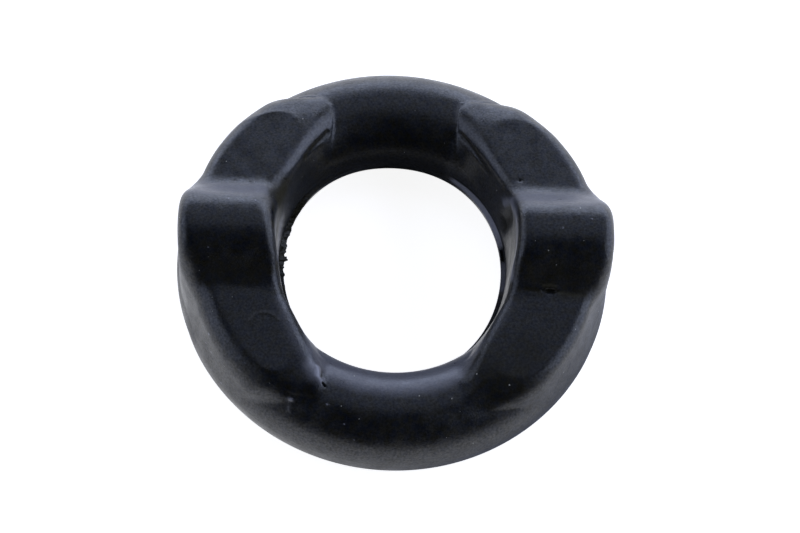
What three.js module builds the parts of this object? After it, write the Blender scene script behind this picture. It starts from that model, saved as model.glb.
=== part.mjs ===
// Exhaust hanger ring: one moulded piece of black rubber, in millimetres, +Z up.
//
// The ring is a round tube bent into a circle round Z. On its left and right (-X and +X) the upper
// half of the tube is built up into a lobe: a stop block in the middle, which runs across the tube,
// a nearly flat land on each side of it, and a ramp that runs down into the round tube again.
// The round stretches between the lobes, front and back, are where the two hanger hooks pull.
//
// The piece is one loft. A station is a section of the tube, and each of its points is pushed out
// from the centre line of the tube until it meets the surface. The section's lower half is the
// round tube. Its upper half is the taller of the round tube and the lobe.

import * as THREE from 'three';

// Ring
const ringDiameter = 64;          // outside, over the round stretches
const tubeDiameter = 14.2;        // of the round section
const restLandWidth = 2.4;        // narrow flat under the tube, on which the ring lies
const reliefDepth = 0.4;          // how far the outside is flattened, mid lobe
const reliefReach = 30;           // degrees to each side of mid lobe, where that ends

// Stop block, seen from the side: a round top, two straight walls and a hollow foot
const blockHeight = 15.5;         // above the middle of the tube
const blockTopRadius = 7;
const blockWallAngle = 45;        // degrees from level
const blockFootRadius = 5;

// Land and ramp on each side of the block
const landStart = 9.1;            // from mid lobe to where the block's wall meets the land
const landHeight = 10.4;          // above the middle of the tube, at the block
const landSlope = 8.5;            // degrees
const landEnd = 20;               // from mid lobe to the edge where the ramp starts
const landWidthAtBlock = 18.3;    // from the ring's axis to the land's inner edge, at the block
const landTaper = 22.8;           // degrees that the inner edge turns in
const landCornerRadius = 4;       // seen from above, between the inner edge and the end
const rampSlope = 20;             // degrees
const rampInwardShare = 0.3;      // of the ramp's drop, past the land's inner edge
const edgeSoftness = 0.1;         // rounding of the edge between land and ramp
const lobeGap = 18.6;             // between the ends of the two lobes, across the round stretch
const lobeReach = 25.1;           // from mid lobe to the far edge of the ramp
const lobeCornerRadius = 2.5;     // seen from above, at the tip of the ramp

// Outer wall of the lobe: upright at the block, leaning in along the ramps
const outerLeanAtBlock = 0;       // degrees from upright
const outerLeanAtRamp = 12;
const outerLeanAtEnd = 34;
const outerLeanStart = 9;         // degrees round the ring, where the wall starts to lean
const outerLeanEnd = 21;
const endLeanStart = 50;          // the same, for the lean at the lobe's end
const endLeanEnd = 66;
const outerShoulderAtBlock = 1.8; // radii of the edge between top and wall
const outerShoulderAtRamp = 2.6;

// Inner wall of the lobe. It is thickened into the bore and leans out more along the ramps.
const thickening = 0.9;           // into the bore, mid lobe
const thickeningReach = 68;       // degrees to each side of mid lobe, where that ends
const thickeningBelow = 1.6;      // the same two under the middle of the tube
const reachBelow = 80;
const innerLeanAtBlock = 3;       // degrees from upright
const innerLeanAtLand = 8;
const innerLeanAtEnd = 60;
const landLeanStart = 14;         // degrees round the ring, for the lean at the land
const landLeanEnd = 32;
const innerLeanStart = 25;        // the same, for the lean at the lobe's end
const innerLeanEnd = 68;
const innerShoulder = 1.6;        // radius of the edge between top and wall
const lobeEndRadius = 0.5;        // of the edge round the end of the ramp

// Faces of the loft
const stationCount = 148;
const underPoints = 5;            // steps along the round underside, each side of the rest land
const wallPoints = 5;             // steps along each wall
const shoulderPoints = 8;         // steps round each shoulder
const topPoints = 3;              // steps across the top
const shoulderFrom = 50;          // degrees round the tube, where the shoulder's steps start
const shoulderTo = 76;

const tubeRadius = tubeDiameter / 2;
const centreRadius = ringDiameter / 2 - tubeRadius;
const restHeight = Math.sqrt(tubeRadius ** 2 - (restLandWidth / 2) ** 2);
const restLandHalf = (Math.asin(restLandWidth / tubeDiameter) * 180) / Math.PI;
const reachLimit = 1.3 * blockHeight;   // outside the lobe at every angle
const slopeStep = 0.05;           // for measuring the slope of the top
const halvings = 30;              // of the interval in which the surface is searched

const radians = THREE.MathUtils.degToRad;
const { clamp, inverseLerp, radToDeg, smoothstep } = THREE.MathUtils;

// The foot of the block: an arc that touches the block's wall and the land.
function footArc() {
  const wall = radians(blockWallAngle);
  const land = radians(landSlope);
  const top = blockHeight - blockTopRadius;
  const wallDistance = blockTopRadius + top * Math.cos(wall) + blockFootRadius;
  const landDistance =
    landStart * Math.sin(land) + landHeight * Math.cos(land) + blockFootRadius;
  const det = Math.sin(wall - land);
  const y = (wallDistance * Math.cos(land) - landDistance * Math.cos(wall)) / det;
  const z = (landDistance * Math.sin(wall) - wallDistance * Math.sin(land)) / det;
  return {
    y,
    z,
    from: y - blockFootRadius * Math.sin(wall),
    to: y - blockFootRadius * Math.sin(land),
  };
}

const foot = footArc();

// How far the ramp has dropped below the land. The land ends at a rounded outline.
function rampDrop(x, side) {
  const taper = radians(landTaper);
  const innerEdge = landWidthAtBlock - (side - landStart) * Math.tan(taper);
  const pastInner = (innerEdge - Math.abs(x)) * Math.cos(taper) * rampInwardShare;
  const pastLand = roundedEdge(pastInner, side - landEnd, landCornerRadius);
  const steeper = Math.tan(radians(rampSlope)) - Math.tan(radians(landSlope));
  const drop = pastLand * steeper * smoothstep(side, landStart - 1, landStart + 2);
  const near = Math.max(edgeSoftness - Math.abs(drop), 0) / edgeSoftness;
  return Math.max(drop, 0) + (near * near * edgeSoftness) / 4;
}

// Height of the lobe's top, from the side: block, foot, land and ramp.
function topHeight(x, y) {
  const side = Math.abs(y);
  const wall = radians(blockWallAngle);
  if (side <= blockTopRadius * Math.sin(wall)) {
    return blockHeight - blockTopRadius + Math.sqrt(blockTopRadius ** 2 - side ** 2);
  }
  if (side < foot.from) {
    const centre = blockHeight - blockTopRadius;
    return centre + blockTopRadius / Math.cos(wall) - side * Math.tan(wall);
  }
  if (side < foot.to) {
    return foot.z - Math.sqrt(blockFootRadius ** 2 - (side - foot.y) ** 2);
  }
  const land = landHeight - (side - landStart) * Math.tan(radians(landSlope));
  return land - rampDrop(x, side);
}

// Distance from a wall that touches the round tube and leans in from there.
function wallDistance(across, z, lean, radius) {
  if (Math.atan2(z, across) < lean) {
    return Math.hypot(across, z) - radius;
  }
  return across * Math.cos(lean) + z * Math.sin(lean) - radius;
}

// Inside both faces, with their edge rounded. Distances are negative inside.
function roundedEdge(a, b, radius) {
  const corner = Math.hypot(Math.max(a + radius, 0), Math.max(b + radius, 0));
  return Math.min(-radius, Math.max(a, b)) + corner;
}

// From one value to another along a stretch of the ring, given in degrees from mid lobe.
function blend(turn, from, to, start, end) {
  return from + (to - from) * smoothstep(turn, radians(start), radians(end));
}

// Share of a feature that fades out round the ring, 1 at mid lobe and 0 at its reach.
function fade(turn, reach) {
  const share = Math.min(turn / radians(reach), 1);
  return Math.cos((share * Math.PI) / 2) ** 2;
}

// Distance from the lobe's surface, negative inside.
function lobeDistance(x, y, z) {
  const turn = Math.atan2(Math.abs(y), Math.abs(x));
  const across = Math.hypot(x, y) - centreRadius;
  const outerLean = blend(turn, outerLeanAtBlock, outerLeanAtRamp, outerLeanStart, outerLeanEnd)
    + blend(turn, 0, outerLeanAtEnd - outerLeanAtRamp, endLeanStart, endLeanEnd);
  const outerShoulder = blend(
    turn, outerShoulderAtBlock, outerShoulderAtRamp, outerLeanStart, outerLeanEnd,
  );
  const along = clamp(inverseLerp(innerLeanStart, innerLeanEnd, radToDeg(turn)), 0, 1);
  const innerLean = blend(turn, innerLeanAtBlock, innerLeanAtLand, landLeanStart, landLeanEnd)
    + (innerLeanAtEnd - innerLeanAtLand) * along ** 3;
  const outerRadius = tubeRadius - reliefDepth * fade(turn, reliefReach);
  const innerRadius = tubeRadius + thickening * fade(turn, thickeningReach);
  const slope = (topHeight(x, y + slopeStep) - topHeight(x, y - slopeStep)) / (2 * slopeStep);
  const top = (z - topHeight(x, y)) / Math.hypot(1, slope);
  const outer = wallDistance(across, z, radians(outerLean), outerRadius);
  const inner = wallDistance(-across, z, radians(innerLean), innerRadius);
  const body = roundedEdge(roundedEdge(top, outer, outerShoulder), inner, innerShoulder);
  const end = roundedEdge(lobeGap / 2 - Math.abs(x), Math.abs(y) - lobeReach, lobeCornerRadius);
  return roundedEdge(body, end, lobeEndRadius);
}

// Reach of the plain tube from its centre line. Under a lobe its outside is flattened and its
// inside is thickened, to meet the lobe's walls at the middle of the tube.
function tubeReach(turn, angle) {
  if (angle > 0) {
    return tubeRadius;
  }
  const shift = Math.cos(angle) > 0
    ? -reliefDepth * fade(turn, reliefReach)
    : thickeningBelow * fade(turn, reachBelow);
  const round = tubeRadius + shift * Math.cos(angle) ** 2;
  return Math.min(round, restHeight / Math.max(-Math.sin(angle), Number.EPSILON));
}

// A point of the section. Stations bow a little, so that they run along the block near mid lobe.
function pointAt(station, angle, reach) {
  const radius = centreRadius + reach * Math.cos(angle);
  const turn = station + 0.5 * Math.sin(2 * station) * (centreRadius / radius - 1);
  return new THREE.Vector3(
    radius * Math.cos(turn), radius * Math.sin(turn), reach * Math.sin(angle),
  );
}

// Where the section's surface is at an angle: on the lobe where there is one, else on the tube.
function surfacePoint(station, angle) {
  const start = pointAt(station, angle, tubeRadius);
  const turn = Math.atan2(Math.abs(start.y), Math.abs(start.x));
  const plain = tubeReach(turn, angle);
  if (angle <= 0) {
    return pointAt(station, angle, plain);
  }
  let inside = tubeRadius / 2;
  let outside = reachLimit;
  const first = pointAt(station, angle, inside);
  if (lobeDistance(first.x, first.y, first.z) > 0) {
    return pointAt(station, angle, plain);
  }
  for (let step = 0; step < halvings; step += 1) {
    const middle = (inside + outside) / 2;
    const p = pointAt(station, angle, middle);
    if (lobeDistance(p.x, p.y, p.z) > 0) {
      outside = middle;
    } else {
      inside = middle;
    }
  }
  return pointAt(station, angle, Math.max(plain, inside));
}

// Angles round the tube: from the outside over the top to the bore, then back underneath.
function sectionAngles() {
  const stretches = [
    [0, shoulderFrom, wallPoints],
    [shoulderFrom, shoulderTo, shoulderPoints],
    [shoulderTo, 180 - shoulderTo, topPoints],
    [180 - shoulderTo, 180 - shoulderFrom, shoulderPoints],
    [180 - shoulderFrom, 180, wallPoints],
    [-180, -90 - restLandHalf, underPoints],
    [-90 - restLandHalf, -90 + restLandHalf, 1],
    [-90 + restLandHalf, 0, underPoints],
  ];
  const angles = [];
  for (const [from, to, steps] of stretches) {
    for (let i = 0; i < steps; i += 1) {
      angles.push(radians(from + ((to - from) * i) / steps));
    }
  }
  return angles;
}

// Joins the stations into one closed skin.
function ringGeometry() {
  const angles = sectionAngles();
  const count = angles.length;
  const positions = [];
  const faces = [];
  for (let i = 0; i < stationCount; i += 1) {
    const station = (2 * Math.PI * i) / stationCount;
    const next = (i + 1) % stationCount;
    for (let k = 0; k < count; k += 1) {
      const p = surfacePoint(station, angles[k]);
      positions.push(p.x, p.y, p.z + restHeight);
      const nextK = (k + 1) % count;
      const a = i * count + k;
      const b = next * count + k;
      const c = next * count + nextK;
      const d = i * count + nextK;
      faces.push(a, b, c, a, c, d);
    }
  }
  const geometry = new THREE.BufferGeometry();
  geometry.setAttribute('position', new THREE.Float32BufferAttribute(positions, 3));
  geometry.setIndex(faces);
  geometry.computeVertexNormals();
  return geometry;
}

const rubber = new THREE.MeshStandardMaterial({
  name: 'black_rubber',
  color: new THREE.Color(0.02, 0.022, 0.027),
  roughness: 0.5,
  metalness: 0,
});

const hangerRing = new THREE.Mesh(ringGeometry(), rubber);
hangerRing.name = 'hanger_ring';

const part = new THREE.Group();
part.add(hangerRing);

export default part;
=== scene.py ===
import math

import bmesh
import bpy
import numpy as np
from mathutils import Matrix, Vector, noise


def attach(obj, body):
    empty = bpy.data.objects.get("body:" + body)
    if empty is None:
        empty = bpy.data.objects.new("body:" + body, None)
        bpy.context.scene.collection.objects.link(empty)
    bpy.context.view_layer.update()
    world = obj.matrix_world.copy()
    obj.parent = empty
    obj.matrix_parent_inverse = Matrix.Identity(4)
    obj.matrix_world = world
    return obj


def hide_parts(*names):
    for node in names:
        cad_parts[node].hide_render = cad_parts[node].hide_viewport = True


mm = 0.001

print("loading the frame")
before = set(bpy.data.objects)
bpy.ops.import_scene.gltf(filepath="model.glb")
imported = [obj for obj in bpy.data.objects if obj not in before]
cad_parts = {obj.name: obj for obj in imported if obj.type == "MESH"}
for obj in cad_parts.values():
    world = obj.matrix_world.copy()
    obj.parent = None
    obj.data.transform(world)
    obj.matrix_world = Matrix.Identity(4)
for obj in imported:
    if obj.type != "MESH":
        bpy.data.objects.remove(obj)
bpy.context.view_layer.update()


# sizes of the ring, in millimetres and degrees, heights counted from the middle of the tube
ringValues = {
    "outerDiameter": 64.0,
    "tubeDiameter": 14.2,
    "restLandWidth": 2.4,
    "reliefDepth": 0.4,
    "reliefReach": 30.0,
    "blockHeight": 15.5,
    "blockTopRadius": 7.0,
    "blockWallAngle": 45.0,
    "blockFootRadius": 5.0,
    "landStart": 9.1,
    "landHeight": 10.4,
    "landSlope": 8.5,
    "landEnd": 21.2,
    "landWidthAtBlock": 18.3,    # from the ring's axis to the land's inner edge
    "landTaper": 22.8,
    "landCornerRadius": 4.0,
    "landEndTurn": 0.35,         # how the land's end falls away past landEndMiddle
    "landEndMiddle": 18.4,
    "rampSlope": 23.2,
    "rampInwardShare": 0.3,      # how steep the ramp is towards the bore, of rampSlope
    "rampFadeFrom": -1.0,        # past landStart, where the ramp beside the land sets in
    "rampFadeTo": 2.0,
    "edgeSoftness": 0.1,
    "lobeGap": 18.6,
    "lobeReach": 25.1,
    "lobeCornerRadius": 2.5,
    "outerLeanAtBlock": 0.0,
    "outerLeanAtRamp": 12.0,
    "outerLeanAtEnd": 34.0,
    "outerLeanFrom": 9.0,
    "outerLeanTo": 21.0,
    "endLeanFrom": 50.0,
    "endLeanTo": 66.0,
    "outerShoulderAtBlock": 1.8,
    "outerShoulderAtRamp": 2.6,
    "outerShoulderAtBack": 1.7,
    "outerShoulderRight": 1.5,
    "thickening": 0.9,           # of the bore's side, above the parting plane
    "thickeningReach": 68.0,
    "thickeningBelow": 1.6,
    "reachBelow": 80.0,
    "innerLeanAtBlock": 3.0,
    "innerLeanAtLand": 8.0,
    "innerLeanAtEnd": 60.0,
    "landLeanFrom": 14.0,
    "landLeanTo": 32.0,
    "innerLeanFrom": 25.0,
    "innerLeanTo": 68.0,
    "innerLeanCurve": 3,         # power
    "innerShoulder": 1.6,
    "innerShoulderLeft": 3.2,    # just behind the left block
    "behindRise": (-3.0, 3.0),   # from the block's middle, where that shoulder grows
    "behindFall": (7.0, 12.0),   # and where it shrinks again
    "lobeEndRadius": 0.5,
    "lobeEndAtFront": 2.6,
    "lobeEndFrontRight": 5.5,
    "lobeMoreFrontRight": 1.7,   # how much further the right lobe runs at the front
    "endBlend": 1.4,             # soft foot of the lobes' front ends
    "endBlendRise": (42.0, 52.0),    # degrees round the ring
    "footRise": (35.0, 60.0),    # degrees round the section
    "footFall": (120.0, 140.0),
    "sideSoftness": 5.0,         # from the middle, where left turns to right and front to back
    "slopeStep": 0.05,           # to each side, for the slope of the top
    "halvings": 22,              # of the search for the surface
    "searchReach": 1.3,          # of blockHeight
    "sectionSteps": 176,
    "ringSteps": 384,
    "longEdge": 0.4,             # longer than a step round the section
    "longCuts": 3,
    "fineCuts": 2,               # round the marks
    "mergeDistance": 1e-4,
}

# small marks of use and of the mould, with painted highlights and painted shade among them, in the same
# units
markValues = {
    "fineReach": 0.35,       # round a mark, where the skin is finer
    "fineLeast": 0.6,        # and at least this far from the mark's path
    "sharpness": 2.5,        # how suddenly a mark ends
    "marks": [
        # name, half width, depth (less than 0 stands out), worn, pale (above 0 a paler colour, less than 0
        # a duller, darker skin: painted highlight and painted shade where noted), points
        # dimple and nick: dents, with painted shade inside, a duller and darker skin
        ("dimple", 1.5, 0.6, 0.6, -0.9, [(16.25, 5.9, 3.9), (16.85, 4.9, 8.6)]),
        ("nick", 0.5, 0.5, 0, -1.4, [(16.35, 3.3, 0.1), (16.5, 1.9, 0.1)]),
        # painted shade: duller, darker skin in the slots, with some wear
        ("slotBackLeft", 0.45, 0.2, 0.4, -0.6, [
            (-10.3, 18.9, 6.8), (-10.9, 17.8, 7.0), (-12.8, 15.4, 7.6), (-13.8, 14.0, 7.8),
        ]),
        ("slotBackRight", 0.4, 0.2, 0.3, -0.6, [
            (9.8, 19.4, 6.7), (10.6, 18.2, 6.9), (12.6, 14.9, 7.0), (13.7, 13.0, 7.0),
        ]),
        ("edgeBackLeft", 0.25, -0.06, 0.3, 0.1, [
            (-16.7, 24.6, 6.0), (-14.5, 25.6, 5.5), (-12.5, 25.5, 6.2), (-11.3, 24.8, 6.7),
        ]),
        ("edgeBackRight", 0.25, -0.06, 0.3, 0.1, [
            (9.1, 21.1, 7.0), (9.2, 22.5, 7.1), (9.4, 23.5, 7.1), (10.0, 24.5, 6.9),
            (11.2, 25.0, 6.6), (12.8, 25.3, 6.2), (14.2, 25.8, 5.4),
        ]),
        # painted shade: duller, darker skin in the slit and its tail
        ("slit", 0.3, 0.35, 0.2, -0.5, [(22.1, -8.35, 10.65), (22.9, -8.35, 10.6)]),
        ("slitEnds", 0.18, 0.15, 0.3, -0.4, [(21.3, -8.3, 10.65), (23.7, -8.4, 10.6)]),
        ("slitTail", 0.3, 0.05, 0.3, -0.45, [(18.8, -8.2, 10.8), (20.4, -8.3, 10.7), (21.7, -8.3, 10.7)]),
        ("slitLip", 0.25, -0.03, 1, 0, [(21.4, -7.7, 11.0), (22.4, -7.6, 11.05), (23.2, -7.75, 11.0)]),
        ("slitEdge", 0.35, 0, 0.9, -0.3, [(23.8, -8.6, 10.6), (25.8, -8.9, 10.55), (27.6, -8.8, 10.2)]),
        # painted shade: duller, darker skin in the tear and its slot
        ("tear", 0.17, 0.3, 0.1, -1, [(-10.1, -22.4, 7.45), (-9.7, -22.8, 7.25)]),
        ("tearSlot", 0.18, 0.1, 0.1, -0.3, [(-10.0, -20.6, 7.5), (-10.4, -21.6, 7.6)]),
        ("tearLip", 0.5, -0.2, 0.3, 0.5, [(-10.9, -20.3, 7.8), (-10.9, -21.5, 7.7), (-10.4, -22.2, 7.5)]),
        ("tearCrumb", 0.22, -0.2, 0.3, 0.5, [(-9.8, -21.7, 7.4)]),
        ("tearFold", 0.2, -0.15, 0.3, 0.4, [(-11.5, -20.8, 7.9), (-11.3, -21.6, 7.8)]),
        # painted highlight beside the tear
        ("tearHighlight", 1.0, -0.05, 0, 0.35, [(-12.1, -20.1, 8.1), (-11.4, -21.2, 7.9)]),
        # painted highlights: paler bands along the inner shoulders of the lobes
        ("bandFrontLeft", 0.9, 0, 0, 0.12, [
            (-16.5, -10.6, 9.9), (-15.4, -13.7, 9.6), (-13.7, -17.0, 9.0), (-12.0, -19.8, 8.2),
        ]),
        ("bandFrontRight", 0.9, 0, 0, 0.07, [
            (16.4, -10.4, 9.8), (14.9, -13.4, 9.4), (12.8, -16.2, 8.5), (10.8, -18.4, 7.6),
        ]),
        ("bandBackLeft", 0.8, 0, 0, 0.12, [
            (-10.0, 20.6, 7.4), (-11.6, 18.6, 8.0), (-13.5, 16.0, 8.8), (-15.2, 13.2, 9.4),
            (-16.6, 10.4, 9.9),
        ]),
        ("bandBackRight", 0.6, 0, 0, 0.08, [
            (9.7, 21.0, 7.2), (11.1, 19.0, 7.8), (12.6, 16.6, 8.4), (14.2, 13.8, 9.0), (15.6, 10.8, 9.5),
        ]),
        # painted highlights: paler strips along the top of the bore's walls
        ("rimRight", 0.8, 0, 0, 0.5, [
            (16.2, 7.6, 7.0), (16.9, 5.9, 10.6), (17.5, 3.2, 12.6), (17.35, -2.8, 12.2), (16.9, -6.0, 10.6),
        ]),
        ("rimLeft", 0.7, 0, 0, 0.35, [
            (-17.3, 1.5, 11.0), (-17.4, -1.0, 12.0), (-17.4, -3.0, 12.4), (-17.2, -4.5, 11.8),
        ]),
        # painted shade: duller, darker skin, with a little brown soil
        ("soilAndShadeFrontRight", 3.2, 0, 0.3, -0.45, [
            (14.2, -19.6, 8.0), (17.4, -21.0, 7.0), (19.0, -17.6, 8.2),
        ]),
        ("soilAndShadeEndRight", 1.5, 0, 0.15, -0.4, [(15.0, -24.3, 6.6), (17.8, -24.2, 6.0)]),
        ("soilAndShadeBlockLeft", 2.2, 0, 0.25, -0.3, [(-20.0, -6.6, 11.6), (-27.0, -6.6, 11.6)]),
        ("soilAndShadeBlockRight", 2.2, 0, 0.25, -0.35, [(20.0, -6.6, 11.8), (28.0, -6.6, 11.6)]),
        ("nub", 0.25, -0.25, 0.4, 0.5, [(-14.54, -24.5, 6.3)]),
        ("nubTail", 0.3, -0.08, 0.3, 0.12, [(-14.7, -24.6, 6.3), (-14.75, -25.9, 5.3)]),
        ("arc", 0.25, -0.045, 0.3, 0.03, [
            (-20.9, -13.9, 9.7), (-20.3, -13.2, 9.8), (-19.6, -12.75, 9.9), (-18.9, -12.6, 9.9),
            (-18.1, -12.7, 9.9), (-17.3, -13.0, 9.8), (-16.6, -13.7, 9.7),
        ]),
        ("scratch", 0.2, -0.03, 0.2, 0.02, [(-14.6, -23.8, 7.0), (-13.4, -24.0, 6.9), (-11.6, -24.3, 6.8)]),
        # painted shade: duller, darker skin in the pit
        ("pit", 0.28, 0.25, 0.1, -0.9, [(18.29, 9.92, 10.3)]),
        ("speckOne", 0.14, 0.1, 1, 0.2, [(-25.4, 8.0, 10.8)]),
        ("speckTwo", 0.17, 0.1, 1, 0.2, [(-23.6, 8.15, 10.8)]),
        ("speckThree", 0.14, 0.12, 1, 0.2, [(-21.4, 8.0, 10.8)]),
        ("crumbOne", 0.35, -0.85, 0.6, -0.3, [(-16.2, 1.0, -0.1)]),
        ("crumbTwo", 0.26, -0.5, 0.6, -0.3, [(-16.2, -1.6, -0.1)]),
        ("crumbThree", 0.28, -0.45, 0.6, -0.3, [(-16.3, -3.6, 0.0)]),
        # painted highlight on the left wall of the bore
        ("paleLens", 1.9, 0, 0, 0.4, [(-16.7, 3.6, 4.8), (-16.9, 2.6, 4.5), (-16.8, 0.5, 3.5)]),
        ("brownPatch", 1.9, 0.05, 1, -0.9, [(-16.3, 8.0, 8.2), (-17.0, 5.0, 10.2)]),
    ],
    "dustSpots": [           # light specks: place and half width
        (-26.6, -15.1, 7.2, 0.17), (-27.0, -15.4, 4.8, 0.13), (-26.3, -16.8, 4.7, 0.13),
        (-26.3, -18.1, 1.3, 0.12), (-24.7, -20.1, 1.3, 0.16), (-9.4, -25.4, 6.8, 0.13),
        (-6.9, -28.0, 5.9, 0.10), (-5.4, -29.9, 4.6, 0.10), (-24.3, 3.1, 14.8, 0.10),
        (-20.5, 2.9, 14.9, 0.08), (-27.0, -4.5, 13.9, 0.08), (-13.8, 12.1, 5.2, 0.13),
        (-12.7, 12.5, 2.2, 0.13), (23.9, -0.5, 15.5, 0.11), (28.2, 1.1, 15.4, 0.10),
        (26.2, 1.9, 15.2, 0.08),
    ],
    "dustLight": 0.8,
    "bandSoftness": 4.0,     # degrees, at the ends of the flash, the ledge and the soil
    "coarseNoise": 1.3,      # per mm
    "fineNoise": 4.0,
    "flashFrom": -175.0,     # degrees round the ring, the rough flash in the left of the bore
    "flashTo": -222.0,
    "flashDepth": 0.36,
    "flashHeight": -0.05,
    "flashWidth": 0.6,
    "flashWorn": 0.8,
    "flashDull": 0.5,
    "ledgeFrom": -14.0,       # the ledge in the right of the bore, with a painted highlight along it
    "ledgeTo": 62.0,
    "ledgeHighlightHeight": -0.25,
    "ledgeHighlightWidth": 0.55,
    "ledgeHighlightFaint": 0.25,       # how strong the painted highlight is before it rises
    "ledgeHighlightRise": (10.0, 24.0),
    "partingHeight": 0.45,   # the dark line above the ledge
    "partingWidth": 0.18,
    "seamPlace": 0.5,        # mould line round the outside
    "seamHeight": 0.015,
    "seamWidth": 0.14,
    "seamRise": (30.0, 40.0),
    "seamWorn": 0.6,
    "lipHeight": 0.1,        # raised rim of the land at the back left
    "lipWidth": 0.18,
    "lipRise": (1.0, 4.0),   # past landStart
    "soilAndShadeFrom": 62.0,        # the back of the bore, low down: soil in patches, and painted shade that dulls the skin
    "soilAndShadeTo": 155.0,
    "soilAndShadeTop": 4.0,          # it fades out above this height
    "soilAndShadeEnd": 6.0,
    "soilSpread": 1.5,
    "soilWorn": 0.25,
    # how much the painted shade dulls the back of the bore
    "boreShade": 0.5,
    "backHighlight": 0.27,           # painted highlight: a paler colour on what faces the back of the ring, towards the back light
    "backHighlightLimit": 0.42,      # how far the skin has to face the back
    "backHighlightLimitDrop": 0.4,   # how much lower that limit is at the front
    "backHighlightDropRise": (12.0, 18.0),
    "backHighlightSoftness": 0.3,
    "backHighlightFall": (12.0, 16.0),
}

tubeRadius = ringValues["tubeDiameter"] / 2
centreRadius = ringValues["outerDiameter"] / 2 - tubeRadius
restHeight = math.sqrt(tubeRadius ** 2 - (ringValues["restLandWidth"] / 2) ** 2)


def smoothStep(value, start, end):
    share = np.clip((value - start) / (end - start), 0, 1)
    return share * share * (3 - 2 * share)


def fadeOut(turn, reach):
    return np.cos(np.minimum(turn / reach, 1) * math.pi / 2) ** 2


def ridge(value, middle, width, power=2):  # 1 in the middle, and 0 well past the width
    return np.exp(-((value - middle) / width) ** power)


def band(value, start, end):  # 1 between two limits, with soft ends
    soft = markValues["bandSoftness"]
    return smoothStep(value, start, start + soft) * (1 - smoothStep(value, end - soft, end))


def roundedEdge(a, b, radius):  # inside both, with a rounded edge
    corner = np.hypot(np.maximum(a + radius, 0), np.maximum(b + radius, 0))
    return np.minimum(-radius, np.maximum(a, b)) + corner


def wallDistance(across, z, lean, radius):  # touches the tube and leans in from there
    onTube = np.hypot(across, z) - radius
    onWall = across * np.cos(lean) + z * np.sin(lean) - radius
    return np.where(np.arctan2(z, across) < lean, onTube, onWall)


def blockFoot(v):  # the hollow between the block's wall and the land
    wall = math.radians(v["blockWallAngle"])
    land = math.radians(v["landSlope"])
    top = v["blockHeight"] - v["blockTopRadius"]
    toWall = v["blockTopRadius"] + top * math.cos(wall) + v["blockFootRadius"]
    toLand = v["landStart"] * math.sin(land) + v["landHeight"] * math.cos(land) + v["blockFootRadius"]
    det = math.sin(wall - land)
    y = (toWall * math.cos(land) - toLand * math.cos(wall)) / det
    z = (toLand * math.sin(wall) - toWall * math.sin(land)) / det
    return y, z


def topHeight(x, y, v):
    side = np.abs(y)
    wall = math.radians(v["blockWallAngle"])
    radius = v["blockTopRadius"]
    middle = v["blockHeight"] - radius
    footY, footZ = blockFoot(v)
    crown = middle + np.sqrt(np.maximum(radius ** 2 - side ** 2, 0))
    straight = middle + radius / math.cos(wall) - side * math.tan(wall)
    hollow = footZ - np.sqrt(np.maximum(v["blockFootRadius"] ** 2 - (side - footY) ** 2, 0))
    land = v["landHeight"] - (side - v["landStart"]) * math.tan(math.radians(v["landSlope"]))
    taper = math.radians(v["landTaper"])
    innerEdge = v["landWidthAtBlock"] - (side - v["landStart"]) * math.tan(taper)
    pastInner = (innerEdge - np.abs(x)) * math.cos(taper)
    pastEnd = side - v["landEnd"] + np.maximum(np.abs(x) - v["landEndMiddle"], 0) * v["landEndTurn"]
    pastLand = roundedEdge(pastInner, pastEnd, v["landCornerRadius"])
    inward = np.maximum(pastInner + v["landCornerRadius"], 1e-6)
    onward = np.maximum(pastEnd + v["landCornerRadius"], 0)
    rampShare = onward ** 2 / (inward ** 2 + onward ** 2)
    rampShare = v["rampInwardShare"] + (1 - v["rampInwardShare"]) * rampShare
    steeper = math.tan(math.radians(v["rampSlope"])) - math.tan(math.radians(v["landSlope"]))
    sets = smoothStep(side, v["landStart"] + v["rampFadeFrom"], v["landStart"] + v["rampFadeTo"])
    drop = pastLand * rampShare * steeper * sets
    near = np.maximum(v["edgeSoftness"] - np.abs(drop), 0) / v["edgeSoftness"]
    lipFrom, lipTo = markValues["lipRise"]
    lip = markValues["lipHeight"] * ridge(pastLand, 0, markValues["lipWidth"])
    lip = lip * (x < 0) * (y > 0) * smoothStep(side, v["landStart"] + lipFrom, v["landStart"] + lipTo)
    slopes = land - np.maximum(drop, 0) - near * near * v["edgeSoftness"] / 4 + lip
    footFrom = footY - v["blockFootRadius"] * math.sin(wall)
    footTo = footY - v["blockFootRadius"] * math.sin(math.radians(v["landSlope"]))
    height = np.where(side < footTo, hollow, slopes)
    height = np.where(side < footFrom, straight, height)
    return np.where(side <= radius * math.sin(wall), crown, height)


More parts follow.
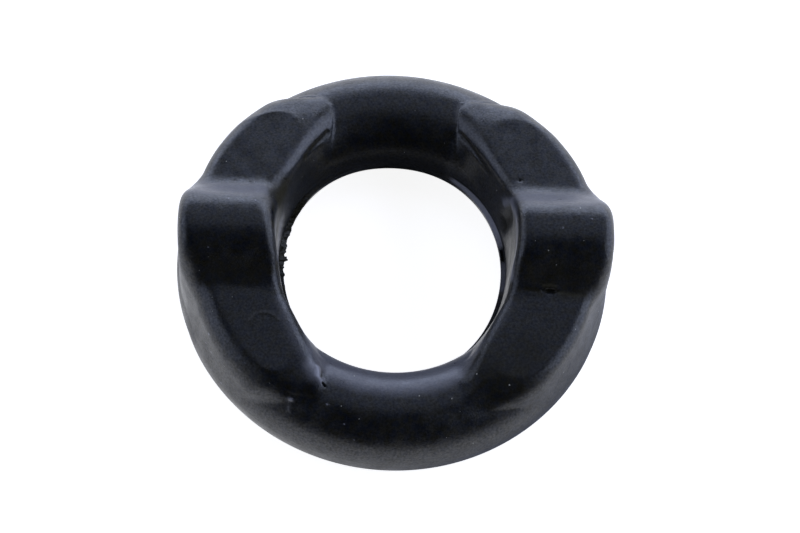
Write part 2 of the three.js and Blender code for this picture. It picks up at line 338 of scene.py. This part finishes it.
def lobeDistance(x, y, z, v):
    turn = np.degrees(np.arctan2(np.abs(y), np.abs(x)))
    across = np.hypot(x, y) - centreRadius
    soft = v["sideSoftness"]
    atRight = smoothStep(x, -soft, soft)
    atLeft = smoothStep(-x, -soft, soft)
    atBack = smoothStep(y, -soft, soft)
    frontRight = atRight * smoothStep(-y, -soft, soft)

    rampShare = smoothStep(turn, v["outerLeanFrom"], v["outerLeanTo"])
    outerLean = v["outerLeanAtBlock"] + (v["outerLeanAtRamp"] - v["outerLeanAtBlock"]) * rampShare
    endShare = smoothStep(turn, v["endLeanFrom"], v["endLeanTo"])
    outerLean = outerLean + (v["outerLeanAtEnd"] - v["outerLeanAtRamp"]) * endShare
    atRamp = v["outerShoulderAtRamp"] + (v["outerShoulderRight"] - v["outerShoulderAtRamp"]) * atRight
    atRamp = atRamp + (v["outerShoulderAtBack"] - atRamp) * atBack
    outerShoulder = v["outerShoulderAtBlock"] + (atRamp - v["outerShoulderAtBlock"]) * rampShare
    outerRadius = tubeRadius - v["reliefDepth"] * fadeOut(turn, v["reliefReach"])

    along = np.clip((turn - v["innerLeanFrom"]) / (v["innerLeanTo"] - v["innerLeanFrom"]), 0, 1)
    landShare = smoothStep(turn, v["landLeanFrom"], v["landLeanTo"])
    innerLean = v["innerLeanAtBlock"] + (v["innerLeanAtLand"] - v["innerLeanAtBlock"]) * landShare
    innerLean = innerLean + (v["innerLeanAtEnd"] - v["innerLeanAtLand"]) * along ** v["innerLeanCurve"]
    behindLeft = atLeft * smoothStep(y, *v["behindRise"]) * (1 - smoothStep(y, *v["behindFall"]))
    innerShoulder = v["innerShoulder"] + (v["innerShoulderLeft"] - v["innerShoulder"]) * behindLeft
    innerRadius = tubeRadius + v["thickening"] * fadeOut(turn, v["thickeningReach"])

    step = v["slopeStep"]
    slope = (topHeight(x, y + step, v) - topHeight(x, y - step, v)) / (2 * step)
    top = (z - topHeight(x, y, v)) / np.hypot(1, slope)
    outer = wallDistance(across, z, np.radians(outerLean), outerRadius)
    inner = wallDistance(-across, z, np.radians(innerLean), innerRadius)
    body = roundedEdge(roundedEdge(top, outer, outerShoulder), inner, innerShoulder)

    more = v["lobeMoreFrontRight"] * frontRight
    pastGap = v["lobeGap"] / 2 - more - np.abs(x)
    outline = roundedEdge(pastGap, np.abs(y) - v["lobeReach"] - more, v["lobeCornerRadius"])
    endRadius = v["lobeEndAtFront"] + (v["lobeEndRadius"] - v["lobeEndAtFront"]) * atBack
    endRadius = endRadius + (v["lobeEndFrontRight"] - v["lobeEndAtFront"]) * frontRight
    return roundedEdge(body, outline, endRadius)


def tubeReach(turn, angle, v):
    flattened = -v["reliefDepth"] * fadeOut(turn, v["reliefReach"])
    thickened = v["thickeningBelow"] * fadeOut(turn, v["reachBelow"])
    shift = np.where(np.cos(angle) > 0, flattened, thickened)
    under = tubeRadius + shift * np.cos(angle) ** 2
    landReach = restHeight / np.maximum(-np.sin(angle), 1e-9)
    return np.where(angle > 0, tubeRadius, np.minimum(under, landReach))


def sectionPoint(station, angle, reach):
    radius = centreRadius + reach * np.cos(angle)
    turn = station + 0.5 * np.sin(2 * station) * (centreRadius / radius - 1)
    return radius * np.cos(turn), radius * np.sin(turn), reach * np.sin(angle)


def surfacePoints(station, angle, v):  # stations and angles of all the points at once
    startX, startY, startZ = sectionPoint(station, angle, tubeRadius)
    turn = np.degrees(np.arctan2(np.abs(startY), np.abs(startX)))
    plain = tubeReach(turn, angle, v)
    inside = np.full(len(station), tubeRadius / 2)
    outside = np.full(len(station), v["searchReach"] * v["blockHeight"])
    x, y, z = sectionPoint(station, angle, inside)
    onLobe = (lobeDistance(x, y, z, v) < 0) & (angle > 0)
    for halving in range(v["halvings"]):
        middle = (inside + outside) / 2
        x, y, z = sectionPoint(station, angle, middle)
        out = lobeDistance(x, y, z, v) > 0
        outside = np.where(out, middle, outside)
        inside = np.where(out, inside, middle)
    atFront = smoothStep(turn, *v["endBlendRise"]) * smoothStep(-startY, 0, v["sideSoftness"])
    onTop = smoothStep(np.degrees(angle), *v["footRise"])
    onTop = onTop * (1 - smoothStep(np.degrees(angle), *v["footFall"]))
    blend = v["endBlend"] * atFront * onTop
    foot = np.maximum(blend - np.abs(plain - inside), 0) ** 2 / np.maximum(4 * blend, 1e-6)
    reach = np.where(onLobe, np.maximum(plain, inside) + foot, plain)
    return sectionPoint(station, angle, reach)


def allMarks(marks):
    light = marks["dustLight"]
    dust = [("dust", size, 0, 0, light, [(x, y, z)]) for x, y, z, size in marks["dustSpots"]]
    return marks["marks"] + dust


def distanceToPath(points, path):
    nearest = np.full(len(points), 1e9)
    corners = np.array(path, dtype=float)
    for i in range(max(len(corners) - 1, 1)):
        start = corners[i]
        step = corners[min(i + 1, len(corners) - 1)] - start
        share = np.clip((points - start) @ step / max(step @ step, 1e-9), 0, 1)
        away = np.linalg.norm(points - start - share[:, None] * step, axis=1)
        nearest = np.minimum(nearest, away)
    return nearest


def torusAngles(bm):
    points = np.array([vert.co[:] for vert in bm.verts])
    station = np.arctan2(points[:, 1], points[:, 0])
    angle = np.arctan2(points[:, 2], np.hypot(points[:, 0], points[:, 1]) - centreRadius)
    return station, np.where(angle < -math.pi + 1e-6, math.pi, angle)


def flashShare(turn, marks):  # turns there are counted backwards, past the half turn
    return band(np.where(turn > 0, turn - 360, turn), marks["flashTo"], marks["flashFrom"])


def refineAtMarks(bm, v, marks):  # splits the faces round the marks before the skin is formed
    surface = np.stack(surfacePoints(*torusAngles(bm), v), axis=1)
    near = np.zeros(len(surface), dtype=bool)
    for name, width, depth, worn, pale, path in allMarks(marks):
        reach = max(width + marks["fineReach"], marks["fineLeast"])
        near = near | (distanceToPath(surface, path) < reach)
    turn = np.degrees(np.arctan2(surface[:, 1], surface[:, 0]))
    inFlash = flashShare(turn, marks) > 0
    inFlash = inFlash & (np.hypot(surface[:, 0], surface[:, 1]) < centreRadius)
    near = near | (inFlash & (np.abs(surface[:, 2] - marks["flashHeight"]) < 2 * marks["flashWidth"]))
    bm.verts.index_update()
    edges = [edge for edge in bm.edges if near[edge.verts[0].index] and near[edge.verts[1].index]]
    bmesh.ops.subdivide_edges(bm, edges=edges, cuts=v["fineCuts"], use_grid_fill=True)


def markSkin(bm, marks):  # how far each vertex moves out, and how worn and how pale it is
    # pale holds dust and specks and painted highlights; below 0 it dulls the skin, painted shade in the
    # dents and the bore
    points = np.array([vert.co[:] for vert in bm.verts])
    facing = np.array([vert.normal.y for vert in bm.verts])
    upward = np.array([vert.normal.z for vert in bm.verts])
    coarse = np.array([noise.noise(Vector(point) * marks["coarseNoise"]) for point in points])
    fine = np.array([noise.noise(Vector(point) * marks["fineNoise"]) for point in points])
    height = points[:, 2]
    turn = np.degrees(np.arctan2(points[:, 1], points[:, 0]))
    fromLobes = np.degrees(np.arctan2(np.abs(points[:, 1]), np.abs(points[:, 0])))
    across = np.hypot(points[:, 0], points[:, 1]) - centreRadius
    inBore = across < 0

    out = np.zeros(len(points))
    worn = np.zeros(len(points))
    pale = np.zeros(len(points))
    for name, width, depth, wear, light, path in allMarks(marks):
        share = ridge(distanceToPath(points, path), 0, width, marks["sharpness"])
        out = out - depth * share
        worn = np.maximum(worn, wear * share)
        pale = pale + light * share

    flash = ridge(height, marks["flashHeight"], marks["flashWidth"]) * inBore * flashShare(turn, marks)
    out = out + flash * marks["flashDepth"] * (coarse + fine)
    worn = np.maximum(worn, flash * marks["flashWorn"])
    pale = pale - flash * marks["flashDull"]

    ledge = inBore * band(turn, marks["ledgeFrom"], marks["ledgeTo"])
    pale = pale - ledge * ridge(height, marks["partingHeight"], marks["partingWidth"])
    # painted highlight: a pale band along the ledge, standing in for the bright floor it would reflect
    ledgeHighlight = marks["ledgeHighlightFaint"] + (1 - marks["ledgeHighlightFaint"]) * smoothStep(turn, *marks["ledgeHighlightRise"])
    pale = pale + ledge * ledgeHighlight * ridge(height, marks["ledgeHighlightHeight"], marks["ledgeHighlightWidth"], power=4)

    seam = ridge(height, marks["seamPlace"], marks["seamWidth"]) * (across > 0)
    seam = seam * smoothStep(fromLobes, *marks["seamRise"])
    out = out + seam * marks["seamHeight"]
    worn = np.maximum(worn, seam * marks["seamWorn"])

    # the back of the bore: brown soil in patches, and painted shade that dulls and darkens the skin over it
    # all
    soilAndShade = band(turn, marks["soilAndShadeFrom"], marks["soilAndShadeTo"]) * inBore
    soilAndShade = soilAndShade * smoothStep(-height, -marks["soilAndShadeEnd"], -marks["soilAndShadeTop"])
    patches = np.clip(0.5 + marks["soilSpread"] * fine, 0, 1)
    worn = np.maximum(worn, soilAndShade * patches * marks["soilWorn"])
    pale = pale - soilAndShade * marks["boreShade"]

    # painted highlight: paler colour where the skin faces the back and up, towards the back light
    soft = marks["backHighlightSoftness"]
    drop = marks["backHighlightLimitDrop"] * smoothStep(-points[:, 1], *marks["backHighlightDropRise"])
    backHighlight = smoothStep(facing - (marks["backHighlightLimit"] - drop), 0, soft) * smoothStep(upward, 0, soft)
    backHighlight = backHighlight * (1 - smoothStep(points[:, 1], *marks["backHighlightFall"]))
    pale = pale + backHighlight * marks["backHighlight"]
    return out, worn, np.clip(pale, -1, 1)


def makeRing(v, marks):
    bm = bmesh.new()
    place = Matrix.Translation((centreRadius, 0, 0)) @ Matrix.Rotation(math.pi / 2, 4, "X")
    bmesh.ops.create_circle(bm, cap_ends=False, radius=tubeRadius, segments=v["sectionSteps"], matrix=place)
    bmesh.ops.spin(
        bm, geom=bm.verts[:] + bm.edges[:], cent=(0, 0, 0), axis=(0, 0, 1),
        angle=2 * math.pi, steps=v["ringSteps"] // (v["longCuts"] + 1),
        use_merge=True, use_duplicate=False,
    )
    bmesh.ops.remove_doubles(bm, verts=bm.verts[:], dist=v["mergeDistance"])
    longEdges = [edge for edge in bm.edges if edge.calc_length() > v["longEdge"]]
    bmesh.ops.subdivide_edges(bm, edges=longEdges, cuts=v["longCuts"], use_grid_fill=True)
    refineAtMarks(bm, v, marks)
    x, y, z = surfacePoints(*torusAngles(bm), v)
    for vert, px, py, pz in zip(bm.verts, x, y, z):
        vert.co = Vector((px, py, pz))
    bmesh.ops.recalc_face_normals(bm, faces=bm.faces[:])
    bm.normal_update()
    out, worn, pale = markSkin(bm, marks)
    wear = bm.verts.layers.float.new("wear")
    light = bm.verts.layers.float.new("pale")
    moves = [vert.normal * move for vert, move in zip(bm.verts, out)]
    for vert, move, wornShare, paleShare in zip(bm.verts, moves, worn, pale):
        vert[wear] = wornShare
        vert[light] = paleShare
        vert.co = (vert.co + move + Vector((0, 0, restHeight))) * mm
    mesh = bpy.data.meshes.new("rubberRing")
    bm.to_mesh(mesh)
    bm.free()
    mesh.shade_smooth()
    ring = bpy.data.objects.new("rubberRing", mesh)
    bpy.context.scene.collection.objects.link(ring)
    return ring


rubberValues = {
    "colour": (0.0028, 0.0044, 0.0085, 1),
    "tintColour": (0.0065, 0.0058, 0.003, 1),
    "tintSize": 0.9,         # mm
    "tintRange": (0.4, 0.6),     # of its noise
    "wornColour": (0.03, 0.027, 0.017, 1),
    # for dust and specks, and for painted highlights
    "paleColour": (0.3, 0.3, 0.34, 1),
    "dustColour": (0.32, 0.31, 0.27, 1),
    "dustSpacing": 1.7,      # mm
    "dustSize": 0.085,       # of the spacing, for the largest specks
    "dustFrom": 0.4,         # share of the places that stay clean
    "refraction": 1.5,
    "roughness": 0.36,
    "roughnessSpread": 0.09,
    "mottleSize": 2.5,       # mm, of the change in roughness
    "sheenSize": 0.34,       # mm
    "sheenFrom": 0.31,
    "sheenTo": 0.72,
    "noiseRange": (0.3, 0.7),    # of the noise behind the mottle and the sheen
    "grainSize": 0.25,       # mm
    "grainDepth": 0.024,     # mm
}


def feed(links, socket, value):  # a link from another node, or a plain value
    if isinstance(value, bpy.types.NodeSocket):
        links.new(value, socket)
    else:
        socket.default_value = value


def addMath(tree, operation, first, second, clamp=False):
    node = tree.nodes.new("ShaderNodeMath")
    node.operation = operation
    node.use_clamp = clamp
    feed(tree.links, node.inputs[0], first)
    feed(tree.links, node.inputs[1], second)
    return node.outputs[0]


def addRange(tree, value, fromMin, fromMax, toMin=0, toMax=1):
    node = tree.nodes.new("ShaderNodeMapRange")
    node.inputs["From Min"].default_value = fromMin
    node.inputs["From Max"].default_value = fromMax
    node.inputs["To Min"].default_value = toMin
    node.inputs["To Max"].default_value = toMax
    feed(tree.links, node.inputs["Value"], value)
    return node.outputs["Result"]


def addMix(tree, share, first, second):
    node = tree.nodes.new("ShaderNodeMix")
    node.data_type = "RGBA"
    feed(tree.links, node.inputs[0], share)
    feed(tree.links, node.inputs[6], first)
    feed(tree.links, node.inputs[7], second)
    return node.outputs[2]


def addNoise(tree, place, size, detail):
    node = tree.nodes.new("ShaderNodeTexNoise")
    node.inputs["Scale"].default_value = 1 / (size * mm)
    node.inputs["Detail"].default_value = detail
    feed(tree.links, node.inputs["Vector"], place)
    return node.outputs["Fac"]


def addAttribute(tree, name):
    node = tree.nodes.new("ShaderNodeAttribute")
    node.attribute_name = name
    return node.outputs["Fac"]


def makeRubber(v):
    material = bpy.data.materials.new("blackRubber")
    material.use_nodes = True
    tree = material.node_tree
    shader = tree.nodes["Principled BSDF"]
    place = tree.nodes.new("ShaderNodeTexCoord").outputs["Object"]
    wear = addAttribute(tree, "wear")
    light = addAttribute(tree, "pale")

    tintShare = addRange(tree, addNoise(tree, place, v["tintSize"], detail=4), *v["tintRange"])
    tinted = addMix(tree, tintShare, v["colour"], v["tintColour"])
    worn = addMix(tree, wear, tinted, v["wornColour"])
    # paler where pale is above 0: dust and specks, and painted highlights
    pale = addMix(tree, light, worn, v["paleColour"])
    cells = tree.nodes.new("ShaderNodeTexVoronoi")
    cells.inputs["Scale"].default_value = 1 / (v["dustSpacing"] * mm)
    feed(tree.links, cells.inputs["Vector"], place)
    speckSize = addRange(tree, cells.outputs["Color"], v["dustFrom"], 1, 0, v["dustSize"])
    inSpeck = addMath(tree, "LESS_THAN", cells.outputs["Distance"], speckSize)
    dusty = addMix(tree, inSpeck, pale, v["dustColour"])
    feed(tree.links, shader.inputs["Base Color"], dusty)

    mottle = addNoise(tree, place, v["mottleSize"], detail=6)
    smoothest = v["roughness"] - v["roughnessSpread"]
    roughest = v["roughness"] + v["roughnessSpread"]
    roughness = addRange(tree, mottle, *v["noiseRange"], smoothest, roughest)
    feed(tree.links, shader.inputs["Roughness"], roughness)

    sheenNoise = addNoise(tree, place, v["sheenSize"], detail=4)
    sheen = addRange(tree, sheenNoise, *v["noiseRange"], v["sheenFrom"], v["sheenTo"])
    # duller and darker where pale is below 0: painted shade in the dents and the bore, and the dull flash
    # and marks
    notDullOrShaded = addMath(tree, "ADD", light, 1, clamp=True)
    feed(tree.links, shader.inputs["Specular IOR Level"], addMath(tree, "MULTIPLY", sheen, notDullOrShaded))
    shader.inputs["IOR"].default_value = v["refraction"]

    bump = tree.nodes.new("ShaderNodeBump")
    bump.inputs["Strength"].default_value = 1
    bump.inputs["Distance"].default_value = v["grainDepth"] * mm
    feed(tree.links, bump.inputs["Height"], addNoise(tree, place, v["grainSize"], detail=3))
    feed(tree.links, shader.inputs["Normal"], bump.outputs["Normal"])
    return material


print("making the ring")
ring = makeRing(ringValues, markValues)
ring.data.materials.append(makeRubber(rubberValues))
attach(ring, "root")
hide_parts("hanger_ring")


# the photograph's viewpoint, in millimetres and degrees, from the middle of the ring
cameraValues = {
    "distance": 400.0,
    "elevation": 63.46,
    "swing": 4.83,
    "roll": 5.95,
    "lens": 120.8,
    "sensorWidth": 36,
    "shiftX": 0.0096,
    "shiftY": 0.0014,
}


def makeCamera(v):
    data = bpy.data.cameras.new("viewpoint")
    camera = bpy.data.objects.new("viewpoint", data)
    bpy.context.scene.collection.objects.link(camera)
    elevation = math.radians(v["elevation"])
    swing = math.radians(v["swing"])
    away = Vector((
        -math.cos(elevation) * math.sin(swing),
        -math.cos(elevation) * math.cos(swing),
        math.sin(elevation),
    ))
    target = Vector((0, 0, restHeight * mm))
    turned = away.to_track_quat("Z", "Y").to_matrix().to_4x4()
    roll = Matrix.Rotation(math.radians(v["roll"]), 4, "Z")
    camera.matrix_world = Matrix.Translation(target + away * v["distance"] * mm) @ turned @ roll
    data.lens = v["lens"]
    data.sensor_width = v["sensorWidth"]
    data.sensor_fit = "HORIZONTAL"
    data.shift_x = v["shiftX"]
    data.shift_y = v["shiftY"]
    data.clip_start = 0.01
    data.clip_end = 50
    bpy.context.scene.camera = camera


# a white floor and soft boxes, in metres
studioValues = {
    "floorSize": 8.0,
    "floorColour": (0.8, 0.79, 0.8, 1),
    "floorGlow": 0.9,
    "shadeCentre": (0, 0.008, 0),    # the ground that the ring shades, as reflections see it
    "shadeStretch": (1.65, 1, 1),
    "shadeInner": 0.0165,
    "shadeOuter": 0.0205,
    "footCentre": (0.009, -0.005, 0),    # the ground close round the ring
    "footShadeInner": 0.025,
    "footShadeOuter": 0.036,
    "worldLevel": 0.02,
    "lightColour": (0.77, 0.87, 1.16),
    "boxes": [
        # name, azimuth, elevation, distance, width, height, brightness
        ("backBox", 90, 11, 0.8, 1.4, 0.47, 2.9),
        ("rightBox", 8, 26, 0.8, 1.1, 0.8, 2.1),
        ("leftBox", 175, 26, 0.8, 1.1, 0.65, 1.2),
        ("topBox", 90, 66, 1.0, 0.9, 0.9, 0.5),
    ],
}


def addVector(tree, operation, first, second):
    node = tree.nodes.new("ShaderNodeVectorMath")
    node.operation = operation
    feed(tree.links, node.inputs[0], first)
    feed(tree.links, node.inputs[1], second)
    return node.outputs["Value" if operation == "DISTANCE" else "Vector"]


def reflectedGround(tree, v):  # 1 where a reflection sees bright ground, and 0 in the ring's shade
    place = tree.nodes.new("ShaderNodeTexCoord").outputs["Object"]
    stretched = addVector(tree, "MULTIPLY", place, v["shadeStretch"])
    fromShade = addVector(tree, "DISTANCE", stretched, v["shadeCentre"])
    lit = addRange(tree, fromShade, v["shadeInner"], v["shadeOuter"])
    fromFoot = addVector(tree, "DISTANCE", place, v["footCentre"])
    aroundRing = addRange(tree, fromFoot, v["footShadeInner"], v["footShadeOuter"])
    fromMiddle = addVector(tree, "DISTANCE", place, (0, 0, 0))
    inBore = addMath(tree, "LESS_THAN", fromMiddle, v["footShadeInner"])
    return addMath(tree, "MULTIPLY", lit, addMath(tree, "MAXIMUM", aroundRing, inBore))


def makeFloor(v):
    bm = bmesh.new()
    bmesh.ops.create_grid(bm, x_segments=1, y_segments=1, size=v["floorSize"] / 2)
    mesh = bpy.data.meshes.new("floor")
    bm.to_mesh(mesh)
    bm.free()
    floor = bpy.data.objects.new("floor", mesh)
    bpy.context.scene.collection.objects.link(floor)
    material = bpy.data.materials.new("whiteGround")
    material.use_nodes = True
    tree = material.node_tree
    shader = tree.nodes["Principled BSDF"]
    shader.inputs["Base Color"].default_value = v["floorColour"]
    shader.inputs["Roughness"].default_value = 1
    shader.inputs["Specular IOR Level"].default_value = 0
    shader.inputs["Emission Color"].default_value = (1, 1, 1, 1)
    path = tree.nodes.new("ShaderNodeLightPath").outputs
    reflected = addMath(tree, "MULTIPLY", path["Is Glossy Ray"], reflectedGround(tree, v))
    seen = addMath(tree, "MAXIMUM", path["Is Camera Ray"], reflected)
    seen = addMath(tree, "MAXIMUM", seen, path["Is Transmission Ray"])
    glow = addMath(tree, "MULTIPLY", seen, v["floorGlow"])
    feed(tree.links, shader.inputs["Emission Strength"], glow)
    mesh.materials.append(material)


def makeBox(name, azimuth, elevation, distance, width, height, brightness, colour):  # a soft box
    data = bpy.data.lights.new(name, "AREA")
    data.shape = "RECTANGLE"
    data.size = width
    data.size_y = height
    data.energy = brightness * math.pi * width * height
    data.color = colour
    box = bpy.data.objects.new(name, data)
    bpy.context.scene.collection.objects.link(box)
    a = math.radians(azimuth)
    e = math.radians(elevation)
    away = Vector((math.cos(e) * math.cos(a), math.cos(e) * math.sin(a), math.sin(e)))
    turned = away.to_track_quat("Z", "Y").to_matrix().to_4x4()
    box.matrix_world = Matrix.Translation(away * distance) @ turned


def makeWorld(v):
    world = bpy.data.worlds.new("studio")
    bpy.context.scene.world = world
    world.use_nodes = True
    background = world.node_tree.nodes["Background"]
    background.inputs["Color"].default_value = (1, 1, 1, 1)
    background.inputs["Strength"].default_value = v["worldLevel"]


print("setting up the camera and the light")
makeCamera(cameraValues)
makeFloor(studioValues)
for box in studioValues["boxes"]:
    makeBox(*box, studioValues["lightColour"])
makeWorld(studioValues)
bpy.context.scene.view_settings.view_transform = "Standard"

print("finishing")
